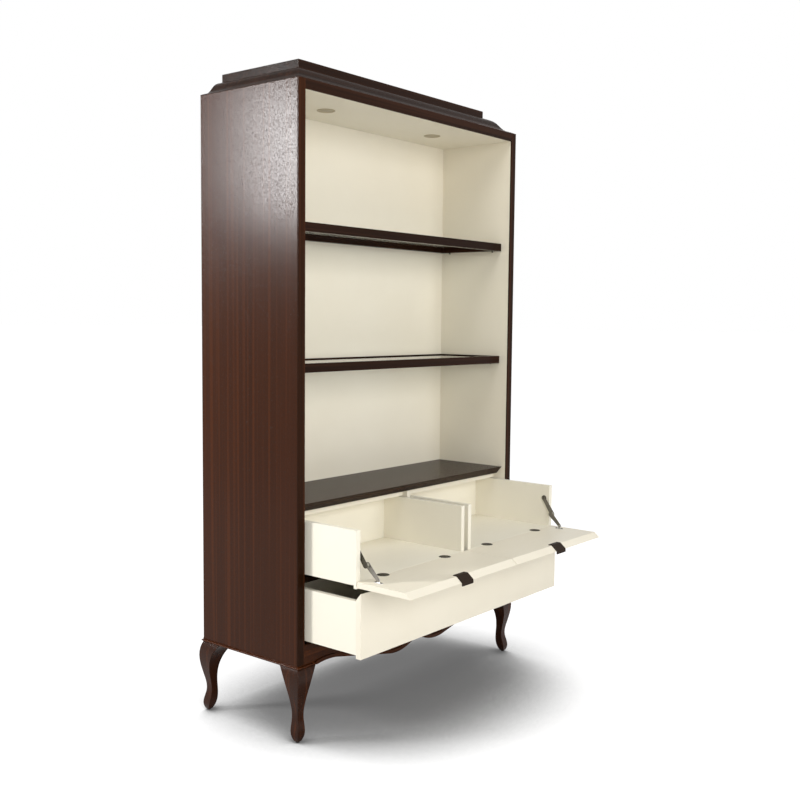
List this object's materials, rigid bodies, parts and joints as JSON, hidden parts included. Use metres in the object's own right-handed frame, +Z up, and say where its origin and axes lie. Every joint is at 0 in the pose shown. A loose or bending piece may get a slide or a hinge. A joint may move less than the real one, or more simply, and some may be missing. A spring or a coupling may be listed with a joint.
{
  "type": "display cabinet",
  "caption": "Tall open display cabinet on cabriole legs with glass shelves, pull-out boxes with drop flaps on folding stays and a wide drawer beneath.",
  "frame": {"origin": "point of the floor under the middle of the whole as it stands, boxes and drawer out and flaps down", "axes": "+X to the right seen from the front, +Y to the back, +Z up"},
  "size_m": [1.222, 0.884, 2.145],
  "materials": {
    "mahogany": "satin lacquered reddish-brown veneer with fine pores",
    "cream": "satin cream lacquer on board",
    "box_white": "satin off-white lacquer on board",
    "smoked_glass": "flat polished grey-green glass",
    "steel": "zinc plated and brushed",
    "cup": "dark bronze lacquered metal",
    "bronze": "dark bronze lacquer",
    "light_rim": "cream lacquer",
    "light_lens": "opal diffuser",
    "glide": "hard felt-grey plastic"
  },
  "bodies": {
    "carcass": {"apron": "mahogany", "back_panel": "cream", "base_rail_left": "mahogany", "base_rail_right": "mahogany", "bay_tops": "cream", "bottom_panel": "mahogany", "carcass_runners": "steel", "carcass_top": "mahogany", "ceiling_panel": "cream", "centre_divider": "cream", "cornice_block": "mahogany", "cornice_moulding": "mahogany", "downlight_lenses": "light_lens", "downlight_rims": "light_rim", "fixed_shelf": "mahogany", "front_stile_left": "mahogany", "front_stile_right": "mahogany", "front_top_rail": "mahogany", "glides": "glide", "leg_front_left": "mahogany", "leg_front_right": "mahogany", "leg_rear_left": "mahogany", "leg_rear_right": "mahogany", "lower_shelf_frame": "mahogany", "lower_shelf_glass": "smoked_glass", "mid_shelf": "mahogany", "rear_panel": "mahogany", "shelf_pins": "steel", "side_liner_left": "cream", "side_liner_right": "cream", "side_panel_left": "mahogany", "side_panel_right": "mahogany", "upper_shelf_frame": "mahogany", "upper_shelf_glass": "smoked_glass"},
    "left_box": {"left_box_walls": "box_white", "left_box_floor": "box_white", "left_box_runners": "steel", "left_floor_hinge_cups": "cup", "left_stay_boss": "steel"},
    "left_flap": {"left_flap": "cream", "left_flap_hinge_cups": "cup", "left_pull": "bronze", "left_stay_foot": "steel"},
    "left_upper_stay": {"left_stay_upper_arm": "steel"},
    "left_lower_stay": {"left_stay_lower_arm": "steel"},
    "right_box": {"right_box_walls": "box_white", "right_box_floor": "box_white", "right_box_runners": "steel", "right_floor_hinge_cups": "cup", "right_stay_boss": "steel"},
    "right_flap": {"right_flap": "cream", "right_flap_hinge_cups": "cup", "right_pull": "bronze", "right_stay_foot": "steel"},
    "right_upper_stay": {"right_stay_upper_arm": "steel"},
    "right_lower_stay": {"right_stay_lower_arm": "steel"},
    "drawer": {"drawer_front": "cream", "drawer_walls": "box_white", "drawer_bottom": "box_white", "drawer_runners": "steel"}
  },
  "joints": [
    {"name": "left_box_slide", "type": "slide", "parent": "carcass", "child": "left_box", "axis": [0, -1, 0], "range_m": [-0.247, 0.05]},
    {"name": "left_flap_hinge", "type": "hinge", "parent": "left_box", "child": "left_flap", "pos_m": [-0.2846, -0.234, 0.551], "axis": [-1, 0, 0], "range_deg": [0, 90]},
    {"name": "left_upper_stay_pivot", "type": "hinge", "parent": "left_box", "child": "left_upper_stay", "pos_m": [-0.5456, -0.209, 0.657], "axis": [-1, 0, 0], "range_deg": [-70.7, 0]},
    {"name": "left_lower_stay_pivot", "type": "hinge", "parent": "left_flap", "child": "left_lower_stay", "pos_m": [-0.5349, -0.289, 0.56], "axis": [-1, 0, 0], "range_deg": [-39.8, 0]},
    {"name": "right_box_slide", "type": "slide", "parent": "carcass", "child": "right_box", "axis": [0, -1, 0], "range_m": [-0.247, 0.05]},
    {"name": "right_flap_hinge", "type": "hinge", "parent": "right_box", "child": "right_flap", "pos_m": [0.2846, -0.234, 0.551], "axis": [-1, 0, 0], "range_deg": [0, 90]},
    {"name": "right_upper_stay_pivot", "type": "hinge", "parent": "right_box", "child": "right_upper_stay", "pos_m": [0.5456, -0.209, 0.657], "axis": [-1, 0, 0], "range_deg": [-70.7, 0]},
    {"name": "right_lower_stay_pivot", "type": "hinge", "parent": "right_flap", "child": "right_lower_stay", "pos_m": [0.5349, -0.289, 0.56], "axis": [-1, 0, 0], "range_deg": [-39.8, 0]},
    {"name": "drawer_slide", "type": "slide", "parent": "carcass", "child": "drawer", "axis": [0, -1, 0], "range_m": [-0.247, 0.05]}
  ],
  "couplings": [
    {"joint": "left_upper_stay_pivot", "follows": "left_flap_hinge", "ratio": -0.78488},
    {"joint": "left_lower_stay_pivot", "follows": "left_flap_hinge", "ratio": -0.44162},
    {"joint": "right_upper_stay_pivot", "follows": "right_flap_hinge", "ratio": -0.78488},
    {"joint": "right_lower_stay_pivot", "follows": "right_flap_hinge", "ratio": -0.44162}
  ]
}
